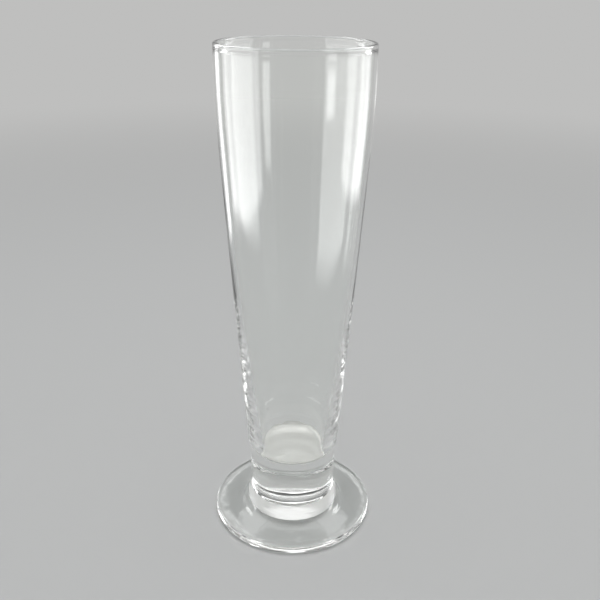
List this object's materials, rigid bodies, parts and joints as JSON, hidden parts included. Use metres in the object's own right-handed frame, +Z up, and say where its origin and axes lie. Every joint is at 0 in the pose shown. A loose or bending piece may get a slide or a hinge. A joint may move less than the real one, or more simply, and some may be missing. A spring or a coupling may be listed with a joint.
{
  "type": "footed pilsner glass",
  "caption": "Tall tapered clear beer glass with a thick solid base, a short stem, a bulging collar and a flat round foot.",
  "frame": {"origin": "on the table, under the middle of the foot", "axes": "+Z up along the glass's axis of revolution, from the foot to the rim; X and Y are any two directions across it, because it is round"},
  "size_m": [0.0766, 0.0766, 0.222],
  "materials": {
    "bowl_glass": "clear blown soda-lime glass, fire-polished",
    "stem_glass": "clear solid soda-lime glass, fire-polished",
    "foot_glass": "clear pressed soda-lime glass, with faint ripples"
  },
  "bodies": {
    "root": {"bowl": "bowl_glass", "stem": "stem_glass", "foot_collar": "stem_glass", "foot": "foot_glass"}
  },
  "joints": []
}
